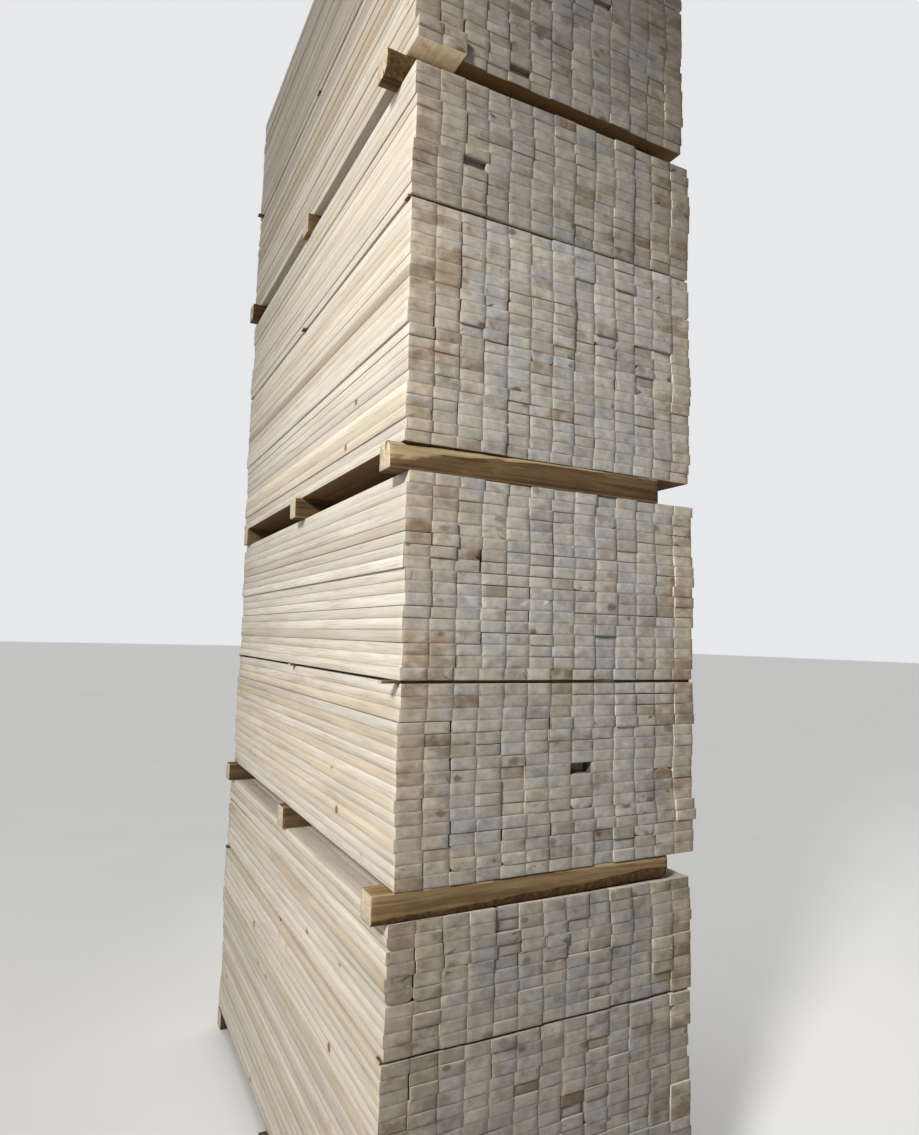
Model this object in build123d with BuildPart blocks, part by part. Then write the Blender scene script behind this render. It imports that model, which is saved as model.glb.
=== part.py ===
from build123d import *
import os
import random

os.makedirs("parts", exist_ok=True)

# A stack of four packs of sawn softwood boards.  The boards lie flat with their ends at the front and
# the back.  Each pack rests on three square bearers and is split in two tiers by thin laths.
# X runs along the end faces, Y runs with the boards (the front ends look along -Y), Z is up.  All in mm.

# ---- boards ----
BOARD_W = 88.9          # usual width of a board as it lies
BOARD_T = 37.5          # usual thickness of a board
BOARD_L = 2440.0        # usual length of a board
COLUMNS = 13            # boards side by side in a row
COLUMN_PITCH = 89.5     # usual step from one column to the next
ROW_PITCH = 37.8        # step from one row to the next
LEAST_GAP = 0.25        # least air between two boards

# the sawn sizes vary a little: change of width, thickness and length, and how common it is
BOARD_SORTS = [
    (0.0, 0.0, 0.0, 30),
    (0.25, 0.0, 3.0, 16),
    (-0.3, 0.0, -2.0, 16),
    (0.1, -0.2, 5.0, 12),
    (-0.6, -0.1, 1.0, 9),
    (0.1, -0.6, -4.0, 6),
    (-0.3, -2.4, 2.0, 3),
    (-2.6, 0.0, 0.0, 3),
]
THIN_SORT = 6

# ---- bearers and laths ----
BEARER = 89.0           # side of a bearer's square section
BEARER_EDGE = 3.0       # worn edge of a bearer
LATH_T = 10.0           # thickness of a lath
LATH_W = 32.0           # width of a lath
LATH_SETBACK = 11.0     # how far a lath stays behind the board ends

# ---- packs, from the ground up ----
# name, rows below the laths, rows above, shift along X, shift along Y, lag of the right end behind the left
PACKS = [
    ("bottom_pack", 23, 10, -14.0, 4.0, 0.0),
    ("second_pack", 16, 17, 0.0, 0.0, 0.0),
    ("third_pack", 21, 12, -12.0, 0.0, 2.0),
    ("top_pack", 16, 17, -9.0, 33.0, 3.0),
]
# bearers under each pack: (start along X, end along X, front face along Y), measured from the left
# front corner of the usual pack, for the front, middle and back bearer
BEARERS = [
    [(-34.0, 1151.0, 6.0), (-52.0, 1128.0, 1168.0), (-21.0, 1170.0, 2338.0)],
    [(-68.0, 1047.0, 2.0), (-30.0, 1139.0, 1181.0), (-47.0, 1112.0, 2331.0)],
    [(-60.0, 999.0, -1.0), (-44.0, 1120.0, 1160.0), (-18.0, 1150.0, 2322.0)],
    [(-84.0, 1062.0, 88.0), (-39.0, 1098.0, 1190.0), (-58.0, 1131.0, 2296.0)],
]
# laths in each pack: (start along X, end along X, front face along Y)
LATHS = [
    [(-22.0, 1158.0, LATH_SETBACK + 4.0), (-15.0, 1149.0, 1203.0), (-31.0, 1140.0, 2391.0)],
    [(-58.0, 1161.0, LATH_SETBACK), (-24.0, 1150.0, 1196.0), (-12.0, 1166.0, 2388.0)],
    [(-26.0, 1140.0, LATH_SETBACK), (-35.0, 1133.0, 1210.0), (-20.0, 1152.0, 2379.0)],
    [(-30.0, 1136.0, LATH_SETBACK + 34.0), (-18.0, 1139.0, 1188.0), (-40.0, 1128.0, 2382.0)],
]

# where boards stand apart: first row, last row, first column right of the gap, width of the gap
GAPS = {
    "bottom_pack_lower": [(20, 21, 1, 4), (20, 21, 4, 4), (18, 18, 5, 4), (18, 19, 8, 5), (14, 15, 8, 5),
                          (16, 16, 7, 4), (12, 16, 11, 4), (22, 22, 6, 4)],
    "bottom_pack_upper": [(5, 7, 1, 5), (6, 8, 2, 4), (4, 6, 5, 5), (4, 5, 7, 4), (7, 8, 9, 4), (1, 1, 3, 4),
                          (3, 3, 4, 4), (1, 2, 5, 4), (0, 0, 6, 5), (1, 2, 11, 4)],
    "second_pack_lower": [(12, 12, 2, 6), (9, 9, 2, 7), (10, 10, 4, 4), (12, 12, 6, 5), (10, 10, 8, 4),
                          (11, 13, 9, 5), (12, 15, 12, 3), (6, 6, 4, 5), (3, 3, 4, 7), (3, 3, 6, 6),
                          (3, 4, 2, 6), (5, 6, 1, 4), (1, 1, 1, 4), (4, 5, 9, 3)],
    "second_pack_upper": [(11, 11, 1, 4), (9, 10, 3, 6), (9, 10, 4, 3), (9, 10, 6, 5), (7, 7, 5, 6),
                          (5, 5, 5, 5), (3, 3, 3, 6), (0, 1, 2, 3), (9, 9, 11, 4), (12, 13, 6, 3)],
    "third_pack_lower": [(14, 19, 2, 4), (11, 12, 2, 6), (9, 10, 1, 5), (13, 14, 4, 6), (10, 11, 6, 3),
                         (16, 16, 10, 4), (10, 11, 8, 4), (2, 3, 2, 4), (2, 3, 5, 4), (4, 4, 6, 4),
                         (2, 2, 8, 4)],
    "third_pack_upper": [(7, 8, 1, 3), (1, 1, 4, 6), (10, 10, 3, 3)],
}
# where a run of thinner boards leaves air above it: row, first column, column after the last
THIN_RUNS = {
    "bottom_pack_lower": [(18, 1, 4), (14, 6, 8), (16, 11, 13)],
    "bottom_pack_upper": [(3, 0, 9)],
    "second_pack_lower": [(12, 0, 2), (8, 2, 3), (10, 3, 4), (9, 4, 5), (12, 5, 6), (10, 7, 8), (11, 10, 12),
                          (6, 3, 4), (5, 4, 6), (5, 7, 8), (2, 6, 8), (1, 8, 10), (3, 9, 11)],
    "second_pack_upper": [(11, 0, 1), (10, 0, 2), (10, 4, 10), (7, 3, 5), (5, 0, 2), (5, 4, 5), (5, 7, 13),
                          (3, 3, 6)],
    "third_pack_lower": [(8, 0, 1), (12, 4, 6), (9, 3, 5), (16, 9, 10), (16, 11, 12), (11, 7, 8), (3, 1, 2),
                         (2, 7, 8), (5, 10, 11)],
    "third_pack_upper": [(4, 0, 1), (9, 3, 4)],
}
# boards that lie well back: (row, column): how far
SET_BACK = {
    "second_pack_lower": {(8, 7): 48.0},
    "third_pack_upper": {(4, 2): 24.0},
}


def pick_sort(rng):
    total = sum(sort[3] for sort in BOARD_SORTS)
    mark = rng.random() * total
    for index, sort in enumerate(BOARD_SORTS):
        mark -= sort[3]
        if mark < 0:
            return index
    return 0


def lay_tier(rng, tier, rows, z_base, shift_x, shift_y, lag, jut):
    """Lays one tier row by row.  Gives a list of (sort, centre x, centre y, centre z)."""
    gaps, thin_runs, set_back = GAPS.get(tier, []), THIN_RUNS.get(tier, []), SET_BACK.get(tier, {})
    more_gaps, more_thin = (0.12, 0.10) if gaps else (0.50, 0.36)
    wander = [rng.gauss(0.0, 0.5) for _ in range(COLUMNS)]
    row_shift, row_run = rng.gauss(0.0, 3.0), 0
    end_step = [rng.gauss(0.0, 2.6) for _ in range(COLUMNS)]
    end_run = [rng.randint(1, 6) for _ in range(COLUMNS)]
    loose, loose_run, extra_there = -1, 0, 0.0
    laid = []
    for row in range(rows):
        if row_run <= 0:
            row_shift = 0.45 * row_shift + rng.gauss(0.0, 3.4)
            row_run = rng.randint(1, 5)
        row_run -= 1
        slip = row_shift + rng.gauss(0.0, 0.9)
        # here and there a gap runs up through a few rows
        if loose_run <= 0:
            loose = rng.randint(1, COLUMNS - 1) if rng.random() < more_gaps else -1
            loose_run = rng.randint(1, 3)
            extra_there = rng.uniform(3.0, 7.0)
        loose_run -= 1
        opened = {column: wide for first, last, column, wide in gaps if first <= row <= last}
        if loose > 0:
            opened[loose] = extra_there
        slip -= 0.4 * sum(opened.values())
        # and a run of thinner boards leaves air above it
        thin_from = rng.randint(-2, COLUMNS - 3) if rng.random() < more_thin else COLUMNS
        thin_to = thin_from + rng.randint(2, 6)
        runs = [(first, stop) for at, first, stop in thin_runs if at == row] + [(thin_from, thin_to)]
        extra = 0.0
        x_free = -1.0e9
        for column in range(COLUMNS):
            wander[column] = 0.86 * wander[column] + rng.gauss(0.0, 0.25)
            extra += opened.get(column, 0.0)
            sort = THIN_SORT if any(first <= column < stop for first, stop in runs) else pick_sort(rng)
            d_w, d_t, d_l, _ = BOARD_SORTS[sort]
            width, thick, length = BOARD_W + d_w, BOARD_T + d_t, BOARD_L + d_l
            x_left = max(x_free, column * COLUMN_PITCH + slip + extra + wander[column] + 0.5)
            x_free = x_left + width + LEAST_GAP
            if end_run[column] <= 0:
                end_step[column] = rng.gauss(0.0, 2.8)
                end_run[column] = rng.randint(2, 7)
            end_run[column] -= 1
            end = end_step[column] + rng.gauss(0.0, 0.45)
            if rng.random() < 0.020:
                end += rng.choice((-1.0, 1.0)) * rng.uniform(4.0, 9.0)
            if not gaps and rng.random() < 0.003:
                end += rng.uniform(20.0, 45.0)
            end += set_back.get((row, column), 0.0)
            if row < 2 and column < 2:
                end -= jut
            y_front = shift_y + lag * column / (COLUMNS - 1) + end
            lift = rng.random() * max(0.0, ROW_PITCH - thick - LEAST_GAP) * 0.3
            laid.append((sort,
                         shift_x + x_left + width / 2,
                         y_front + length / 2,
                         z_base + row * ROW_PITCH + lift + thick / 2))
    return laid


# ---- every piece's place, measured from the left front corner of the usual pack ----
rng = random.Random(7717)
tiers, bearers, laths = [], [], []
z = 0.0
for level, (pack, rows_low, rows_high, shift_x, shift_y, lag) in enumerate(PACKS):
    for place, (x0, x1, y0) in zip(("front", "middle", "back"), BEARERS[level]):
        bearers.append((f"bearer_{place}_under_{pack}", x0, x1, y0, z))
    z += BEARER
    jut = 34.0 if pack == "top_pack" else 0.0
    tiers.append((f"{pack}_lower_tier_boards",
                  lay_tier(rng, f"{pack}_lower", rows_low, z, shift_x, shift_y, lag, jut)))
    z += rows_low * ROW_PITCH
    for place, (x0, x1, y0) in zip(("front", "middle", "back"), LATHS[level]):
        laths.append((f"lath_{place}_in_{pack}", x0, x1, y0, z))
    z += LATH_T
    tiers.append((f"{pack}_upper_tier_boards",
                  lay_tier(rng, f"{pack}_upper", rows_high, z, shift_x, shift_y, lag, 0.0)))
    z += rows_high * ROW_PITCH
TOTAL_H = z

# ---- origin: on the ground, under the middle of everything ----
x_edges, y_edges = [], []
for _, laid in tiers:
    for sort, cx, cy, cz in laid:
        half_w = (BOARD_W + BOARD_SORTS[sort][0]) / 2
        half_l = (BOARD_L + BOARD_SORTS[sort][2]) / 2
        x_edges += [cx - half_w, cx + half_w]
        y_edges += [cy - half_l, cy + half_l]
for _, x0, x1, y0, _z in bearers:
    x_edges += [x0, x1]
    y_edges += [y0, y0 + BEARER]
for _, x0, x1, y0, _z in laths:
    x_edges += [x0, x1]
    y_edges += [y0, y0 + LATH_W]
MID_X = (min(x_edges) + max(x_edges)) / 2
MID_Y = (min(y_edges) + max(y_edges)) / 2

# ---- boards: one node for each tier, one solid for each board ----
for name, laid in tiers:
    with BuildPart() as tier:
        for index, (d_w, d_t, d_l, _) in enumerate(BOARD_SORTS):
            spots = [(cx - MID_X, cy - MID_Y, cz) for sort, cx, cy, cz in laid if sort == index]
            if spots:
                with Locations(*spots):
                    Box(BOARD_W + d_w, BOARD_L + d_l, BOARD_T + d_t)
    tier.part.label = name
    export_step(tier.part, f"parts/{name}.step")

# ---- bearers: square timbers across the stack ----
for name, x0, x1, y0, z0 in bearers:
    with BuildPart() as bearer:
        with BuildSketch(Plane.YZ.offset(x0 - MID_X)) as section:
            with Locations((y0 + BEARER / 2 - MID_Y, z0 + BEARER / 2)):
                Rectangle(BEARER, BEARER)
            chamfer(section.vertices(), BEARER_EDGE)
        extrude(amount=x1 - x0)
    bearer.part.label = name
    export_step(bearer.part, f"parts/{name}.step")

# ---- laths: thin strips across the stack between the tiers ----
for name, x0, x1, y0, z0 in laths:
    with BuildPart() as lath:
        with BuildSketch(Plane.YZ.offset(x0 - MID_X)):
            with Locations((y0 + LATH_W / 2 - MID_Y, z0 + (LATH_T - LEAST_GAP) / 2)):
                Rectangle(LATH_W, LATH_T - LEAST_GAP)
        extrude(amount=x1 - x0)
    lath.part.label = name
    export_step(lath.part, f"parts/{name}.step")

print("boards", sum(len(laid) for _, laid in tiers))
print("height", TOTAL_H, "x", min(x_edges) - MID_X, max(x_edges) - MID_X,
      "y", min(y_edges) - MID_Y, max(y_edges) - MID_Y, "mid", MID_X, MID_Y)
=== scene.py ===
import math

import bpy
import numpy as np
from mathutils import Matrix, Vector


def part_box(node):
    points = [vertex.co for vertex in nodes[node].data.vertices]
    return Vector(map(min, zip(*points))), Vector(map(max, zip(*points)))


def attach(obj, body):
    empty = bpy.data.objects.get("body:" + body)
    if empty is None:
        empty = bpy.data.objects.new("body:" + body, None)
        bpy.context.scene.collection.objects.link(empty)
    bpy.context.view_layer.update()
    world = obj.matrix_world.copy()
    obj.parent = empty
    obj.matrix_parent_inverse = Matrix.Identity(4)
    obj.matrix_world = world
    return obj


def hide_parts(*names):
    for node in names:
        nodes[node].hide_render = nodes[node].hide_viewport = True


# A stack of four packs of sawn boards on bearers.  Everything is in metres, +Z up, boards along Y.

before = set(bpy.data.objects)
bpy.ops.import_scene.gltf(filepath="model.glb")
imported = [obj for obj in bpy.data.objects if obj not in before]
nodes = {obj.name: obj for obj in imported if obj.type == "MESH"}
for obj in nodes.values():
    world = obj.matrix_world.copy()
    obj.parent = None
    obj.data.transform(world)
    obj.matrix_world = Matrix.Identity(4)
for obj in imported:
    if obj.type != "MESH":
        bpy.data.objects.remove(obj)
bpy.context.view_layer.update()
scene = bpy.context.scene

PACKS = ["bottom_pack", "second_pack", "third_pack", "top_pack"]
ROW_PITCH = 0.0378
COLUMNS = 13


def lin(r, g, b):
    """sRGB 0-255 to the linear values that shader sockets take."""
    out = []
    for c in (r, g, b):
        c = c / 255.0
        out.append(c / 12.92 if c <= 0.04045 else ((c + 0.055) / 1.055) ** 2.4)
    return (*out, 1.0)


# ------------------------------------------------------------------------------------------------
# node tree helpers
# ------------------------------------------------------------------------------------------------
class Tree:
    def __init__(self, name):
        self.mat = bpy.data.materials.new(name)
        self.mat.use_nodes = True
        self.nt = self.mat.node_tree
        self.nt.nodes.clear()
        self.out = self.nt.nodes.new("ShaderNodeOutputMaterial")
        self.bsdf = self.nt.nodes.new("ShaderNodeBsdfPrincipled")
        self.nt.links.new(self.bsdf.outputs["BSDF"], self.out.inputs["Surface"])

    def node(self, kind, **props):
        n = self.nt.nodes.new(kind)
        for k, v in props.items():
            setattr(n, k, v)
        return n

    def link(self, a, b):
        self.nt.links.new(a, b)

    def put(self, socket, value):
        if isinstance(value, bpy.types.NodeSocket):
            self.link(value, socket)
        elif value is not None:
            if socket.type == "VECTOR" and hasattr(value, "__len__"):
                value = tuple(value)[:3]
            socket.default_value = value

    def attr(self, name):
        return self.node("ShaderNodeAttribute", attribute_name=name).outputs

    def math(self, op, a, b=None, c=None, clamp=False):
        n = self.node("ShaderNodeMath", operation=op, use_clamp=clamp)
        self.put(n.inputs[0], a)
        if b is not None:
            self.put(n.inputs[1], b)
        if c is not None:
            self.put(n.inputs[2], c)
        return n.outputs[0]

    def vmath(self, op, a, b=None, scale=None):
        n = self.node("ShaderNodeVectorMath", operation=op)
        self.put(n.inputs[0], a)
        if b is not None:
            self.put(n.inputs[1], b)
        if scale is not None:
            self.put(n.inputs["Scale"], scale)
        return n.outputs["Value"] if op in ("LENGTH", "DISTANCE", "DOT_PRODUCT") else n.outputs["Vector"]

    def split(self, v):
        n = self.node("ShaderNodeSeparateXYZ")
        self.link(v, n.inputs[0])
        return n.outputs[0], n.outputs[1], n.outputs[2]

    def join(self, x, y, z):
        n = self.node("ShaderNodeCombineXYZ")
        for s, v in zip(n.inputs, (x, y, z)):
            self.put(s, v)
        return n.outputs[0]

    def ramp(self, value, lo, hi, to_lo=0.0, to_hi=1.0, smooth=True):
        n = self.node("ShaderNodeMapRange", interpolation_type="SMOOTHSTEP" if smooth else "LINEAR")
        self.put(n.inputs["Value"], value)
        self.put(n.inputs["From Min"], lo)
        self.put(n.inputs["From Max"], hi)
        self.put(n.inputs["To Min"], to_lo)
        self.put(n.inputs["To Max"], to_hi)
        return n.outputs["Result"]

    def noise(self, vector, scale=1.0, detail=3.0, rough=0.55, distort=0.0):
        n = self.node("ShaderNodeTexNoise")
        self.link(vector, n.inputs["Vector"])
        n.inputs["Scale"].default_value = scale
        n.inputs["Detail"].default_value = detail
        n.inputs["Roughness"].default_value = rough
        n.inputs["Distortion"].default_value = distort
        return n.outputs["Fac"]

    def voronoi(self, vector, scale=1.0, feature="F1", rnd=1.0):
        n = self.node("ShaderNodeTexVoronoi", feature=feature)
        self.link(vector, n.inputs["Vector"])
        n.inputs["Scale"].default_value = scale
        n.inputs["Randomness"].default_value = rnd
        return n

    def mix(self, fac, a, b, blend="MIX"):
        n = self.node("ShaderNodeMix", data_type="RGBA", blend_type=blend)
        self.put(n.inputs[0], fac)
        self.put(n.inputs[6], a)
        self.put(n.inputs[7], b)
        return n.outputs[2]

    def mixf(self, fac, a, b):
        n = self.node("ShaderNodeMix", data_type="FLOAT")
        self.put(n.inputs[0], fac)
        self.put(n.inputs[2], a)
        self.put(n.inputs[3], b)
        return n.outputs[0]

    def scaled(self, colour, factor):
        """A colour times a number."""
        n = self.node("ShaderNodeVectorMath", operation="SCALE")
        self.put(n.inputs[0], colour)
        self.put(n.inputs["Scale"], factor)
        return n.outputs["Vector"]

    def bump(self, height, strength, distance, normal=None):
        n = self.node("ShaderNodeBump")
        n.inputs["Strength"].default_value = strength
        n.inputs["Distance"].default_value = distance
        self.link(height, n.inputs["Height"])
        if normal is not None:
            self.link(normal, n.inputs["Normal"])
        return n.outputs["Normal"]


# ------------------------------------------------------------------------------------------------
# sawn board: end grain on the cut ends, long grain on the faces
# ------------------------------------------------------------------------------------------------
def board_material():
    t = Tree("sawn_board")
    lc = t.attr("lc")["Vector"]        # place in the board: across, along, up, from the front end
    ta = t.attr("ta")["Vector"]        # tone, warmth, stain
    tb = t.attr("tb")["Vector"]        # three free random numbers
    pk = t.attr("pk")["Vector"]        # pith across, pith up, ring width
    kn = t.attr("kn")["Vector"]        # end knot across, up, radius
    bark = t.ramp(t.attr("bk")["Fac"], 0.55, 0.75)
    painted_underside_shade_and_light = t.attr("ud")["Fac"]         # lowest row of a pack: 1 for painted shade on its underside, -1 for painted light on a jutting board's underside
    aged = t.attr("ag")["Fac"]         # how far the cut ends have browned and darkened
    near = t.attr("en")["Fac"]         # 1 all over a cut end and its arrises, falling to 0 about 50 mm in
    shut = t.attr("sh")["Fac"]         # 1 on a board with neighbours all round
    tone, warm, stain = t.split(ta)
    r1, r2, r3 = t.split(tb)
    lx, ly, lz = t.split(lc)
    geo = t.node("ShaderNodeNewGeometry").outputs
    place = geo["Position"]
    own = t.vmath("ADD", lc, t.vmath("SCALE", tb, scale=23.0))
    nx, ny, nz = t.split(geo["True Normal"])
    is_end = t.math("MAXIMUM", t.ramp(t.math("ABSOLUTE", ny), 0.62, 0.80), t.ramp(near, 0.990, 0.9985))
    is_end = t.math("MAXIMUM", is_end, t.math("MULTIPLY", shut, t.ramp(near, 0.90, 0.985, 0.0, 0.45)))

    # ---- one field of growth rings round the pith, for ends and faces alike ----
    px, pz, ring = t.split(pk)
    rx, rz = t.math("SUBTRACT", lx, px), t.math("SUBTRACT", lz, pz)
    dist = t.math("SQRT", t.math("ADD", t.math("MULTIPLY", rx, rx), t.math("MULTIPLY", rz, rz)))
    drift = t.noise(t.vmath("MULTIPLY", own, (9.0, 1.3, 9.0)), 1.0, 2.0)
    dist = t.math("ADD", dist, t.math("MULTIPLY", t.math("SUBTRACT", drift, 0.5), 0.022))
    saw = t.math("FRACT", t.math("DIVIDE", dist, ring))
    late = t.math("POWER", saw, 3.0)

    blotch = t.noise(own, 48.0, 3.0, 0.6)
    blotch_lo = t.noise(own, 17.0, 2.0, 0.55)
    fibre = t.noise(own, 430.0, 2.0, 0.7)

    # ---- cut ends ----
    flat = t.vmath("MULTIPLY", place, (1.0, 0.12, 1.0))
    patch = t.noise(flat, 2.3, 3.0, 0.55)
    grime = t.noise(t.vmath("ADD", t.vmath("MULTIPLY", place, (9.0, 1.0, 15.0)), (3.1, 0.0, 7.7)), 1.0, 3.0, 0.62)
    end = t.mix(t.math("ADD", warm, t.math("MULTIPLY", aged, 0.35), clamp=True), lin(166, 163, 157), lin(174, 163, 147))
    end = t.mix(t.ramp(patch, 0.40, 0.66, 0.0, 0.45), end, lin(176, 164, 146))
    cool = t.noise(t.vmath("ADD", t.vmath("MULTIPLY", place, (6.0, 0.6, 9.0)), (11.0, 2.0, 5.0)), 1.0, 3.0, 0.6)
    from_mid = t.math("ABSOLUTE", t.math("SUBTRACT", t.split(place)[0], 0.035))
    end = t.mix(t.ramp(from_mid, 0.50, 0.28, 0.0, 0.28), end, lin(160, 159, 156))
    end = t.mix(t.math("MULTIPLY", t.ramp(from_mid, 0.42, 0.54, 0.0, 0.40), t.ramp(patch, 0.36, 0.60, 0.4, 1.0)), end, lin(170, 152, 126))
    end = t.mix(t.math("MULTIPLY", t.ramp(from_mid, 0.52, 0.34, 0.35, 1.0), t.ramp(cool, 0.48, 0.64, 0.0, 0.58)), end, lin(153, 155, 157))
    spread = t.math("MULTIPLY_ADD", aged, 0.16, 0.17)
    level = t.math("MULTIPLY_ADD", t.math("SUBTRACT", tone, 0.5), spread, 0.95)
    mottle = t.noise(t.vmath("MULTIPLY", place, (16.0, 1.5, 24.0)), 1.0, 4.0, 0.62)
    level = t.math("MULTIPLY", level, t.ramp(blotch, 0.28, 0.74, 0.91, 1.07))
    level = t.math("MULTIPLY", level, t.ramp(blotch_lo, 0.30, 0.70, 0.92, 1.06))
    level = t.math("MULTIPLY", level, t.ramp(mottle, 0.30, 0.66, 1.08, 0.86))
    level = t.math("MULTIPLY", level, t.ramp(fibre, 0.2, 0.8, 0.90, 1.10))
    level = t.math("MULTIPLY", level, t.math("MULTIPLY_ADD", late, -0.15, 1.03))
    level = t.math("MULTIPLY", level, t.math("MULTIPLY_ADD", aged, -0.36, 1.0))
    end = t.scaled(end, level)
    # grey and brown weather marks that run over neighbouring boards
    end = t.mix(t.ramp(grime, 0.54, 0.72, 0.0, 0.55), end, t.scaled(lin(116, 106, 92), level))
    end = t.mix(t.math("MULTIPLY", stain, t.ramp(blotch_lo, 0.36, 0.62, 0.12, 1.0)),
                end, t.scaled(lin(112, 90, 64), level))
    # browner weather marks near the sides of the stack
    brown = t.noise(t.vmath("ADD", t.vmath("MULTIPLY", place, (5.5, 0.4, 13.0)), (2.0, 6.0, 4.0)), 1.0, 3.0, 0.55)
    brown = t.math("MULTIPLY", t.ramp(brown, 0.55, 0.66, 0.0, 0.52), t.ramp(from_mid, 0.30, 0.48, 0.12, 1.0))
    end = t.mix(brown, end, t.scaled(lin(124, 101, 74), level))
    heart = t.ramp(dist, 0.006, 0.026, 0.30, 0.0)
    end = t.mix(heart, end, t.scaled(lin(138, 118, 94), level))
    # drying splits that run out from the heart
    ang = t.math("ARCTAN2", rz, rx)
    turn = t.join(t.math("MULTIPLY_ADD", ang, 2.1, t.math("MULTIPLY", r1, 50.0)),
                  t.math("MULTIPLY", dist, 9.0), t.math("MULTIPLY", r2, 50.0))
    split = t.voronoi(turn, 1.0, "DISTANCE_TO_EDGE").outputs["Distance"]
    reach = t.noise(own, 30.0, 1.0)
    split = t.math("MULTIPLY", t.ramp(split, 0.008, 0.034, 1.0, 0.0), t.ramp(reach, 0.58, 0.70))
    split = t.math("MULTIPLY", split, t.ramp(r3, 0.74, 0.78))
    end = t.mix(t.math("MULTIPLY", split, 0.50), end, lin(74, 62, 48))
    # knot cut through at the end, with a ragged rim and rings of its own
    kx, kz, kr = t.split(kn)
    ex, ez = t.math("SUBTRACT", lx, kx), t.math("MULTIPLY", t.math("SUBTRACT", lz, kz), 1.5)
    kd = t.math("SQRT", t.math("ADD", t.math("MULTIPLY", ex, ex), t.math("MULTIPLY", ez, ez)))
    kd = t.math("ADD", kd, t.math("MULTIPLY", t.math("SUBTRACT", blotch, 0.5), 0.020))
    knot_end = t.ramp(t.math("SUBTRACT", kr, kd), -0.005, 0.003)
    halo_end = t.math("MULTIPLY", t.ramp(t.math("SUBTRACT", kr, kd), -0.016, 0.0), t.ramp(kr, 0.001, 0.003))
    end = t.mix(t.math("MULTIPLY", halo_end, 0.35), end, t.scaled(lin(140, 118, 90), level))
    end = t.mix(t.math("MULTIPLY", t.math("MULTIPLY", knot_end, t.ramp(kr, 0.001, 0.003)), t.math("MULTIPLY_ADD", r1, 0.64, 0.12)), end, lin(84, 70, 54))
    # dirt in the joints beside each end, less above and below
    ax = t.math("ADD", t.math("DIVIDE", t.math("ABSOLUTE", lx), 0.0443), t.math("MULTIPLY", t.math("SUBTRACT", blotch, 0.5), 0.06))
    az = t.math("ADD", t.math("DIVIDE", t.math("ABSOLUTE", lz), 0.0188), t.math("MULTIPLY", t.math("SUBTRACT", blotch, 0.5), 0.14))
    rim = t.math("MULTIPLY", t.math("MAXIMUM", t.ramp(ax, 0.97, 1.01, 0.0, 0.22), t.ramp(az, 0.94, 1.02, 0.0, 0.24)), t.ramp(grime, 0.52, 0.68))
    end = t.mix(rim, end, lin(92, 78, 60))
    # some joints run dark over several boards: dirt in the joints, and painted shade standing in for the shadow of open
    # gaps
    run_h = t.noise(t.vmath("ADD", t.vmath("MULTIPLY", place, (3.6, 0.3, 29.0)), (5.0, 0.0, 1.0)), 1.0, 2.0, 0.5)
    run_v = t.noise(t.vmath("ADD", t.vmath("MULTIPLY", place, (24.0, 0.3, 5.5)), (1.0, 4.0, 9.0)), 1.0, 2.0, 0.5)
    line = t.math("MAXIMUM", t.math("MULTIPLY", t.ramp(az, 0.86, 0.98, 0.0, 0.84), t.ramp(run_h, 0.58, 0.64)),
                  t.math("MULTIPLY", t.ramp(ax, 0.945, 0.99, 0.0, 0.80), t.ramp(run_v, 0.58, 0.64)))
    end = t.mix(line, end, lin(52, 42, 31))

    # ---- long faces ----
    streak = t.noise(t.vmath("MULTIPLY", own, (36.0, 1.0, 36.0)), 1.0, 4.0, 0.6, 0.4)
    fine = t.noise(t.vmath("MULTIPLY", own, (210.0, 3.5, 210.0)), 1.0, 3.0, 0.65)
    cloud = t.noise(t.vmath("MULTIPLY", own, (8.0, 1.5, 8.0)), 1.0, 3.0, 0.55)
    side = t.mix(warm, lin(208, 204, 195), lin(211, 201, 183))
    side = t.mix(t.ramp(r1, 0.80, 0.86, 0.0, 0.55), side, lin(182, 177, 167))
    side = t.mix(t.ramp(r2, 0.84, 0.90, 0.0, 0.50), side, lin(200, 182, 152))
    side = t.mix(t.math("MULTIPLY", t.ramp(r3, 0.925, 0.945), t.ramp(cloud, 0.34, 0.60, 0.30, 0.72)), side, lin(158, 132, 98))
    side = t.mix(t.ramp(cloud, 0.44, 0.72, 0.0, 0.55), side, lin(190, 180, 164))
    side = t.mix(t.math("MULTIPLY", late, 0.38), side, lin(186, 169, 145))
    side = t.mix(t.ramp(streak, 0.50, 0.74, 0.0, 0.50), side, lin(176, 162, 140))
    side = t.mix(t.ramp(fine, 0.46, 0.70, 0.0, 0.48), side, lin(148, 134, 114))
    side = t.mix(t.math("MULTIPLY", stain, 0.6), side, lin(146, 124, 96))
    s_level = t.math("MULTIPLY_ADD", tone, 0.26, 0.84)
    side = t.scaled(side, t.math("MULTIPLY", s_level, 0.90))
    vor = t.voronoi(own, 8.5, "F1")
    pick = t.split(vor.outputs["Color"])[0]
    kdist = t.math("ADD", t.math("DIVIDE", vor.outputs["Distance"], 8.5),
                   t.math("MULTIPLY", t.math("SUBTRACT", blotch, 0.5), 0.006))
    size = t.ramp(pick, 0.80, 1.0, 0.0, 0.016, smooth=False)
    knot = t.math("MULTIPLY", t.ramp(t.math("SUBTRACT", size, kdist), -0.0015, 0.0015), t.ramp(pick, 0.80, 0.83))
    halo = t.math("MULTIPLY", t.ramp(t.math("SUBTRACT", size, kdist), -0.020, 0.0), t.ramp(pick, 0.80, 0.83))
    side = t.mix(t.math("MULTIPLY", halo, 0.45), side, t.scaled(lin(186, 148, 104), s_level))
    side = t.mix(t.math("MULTIPLY", knot, 0.85), side, t.scaled(lin(108, 76, 50), s_level))
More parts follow.
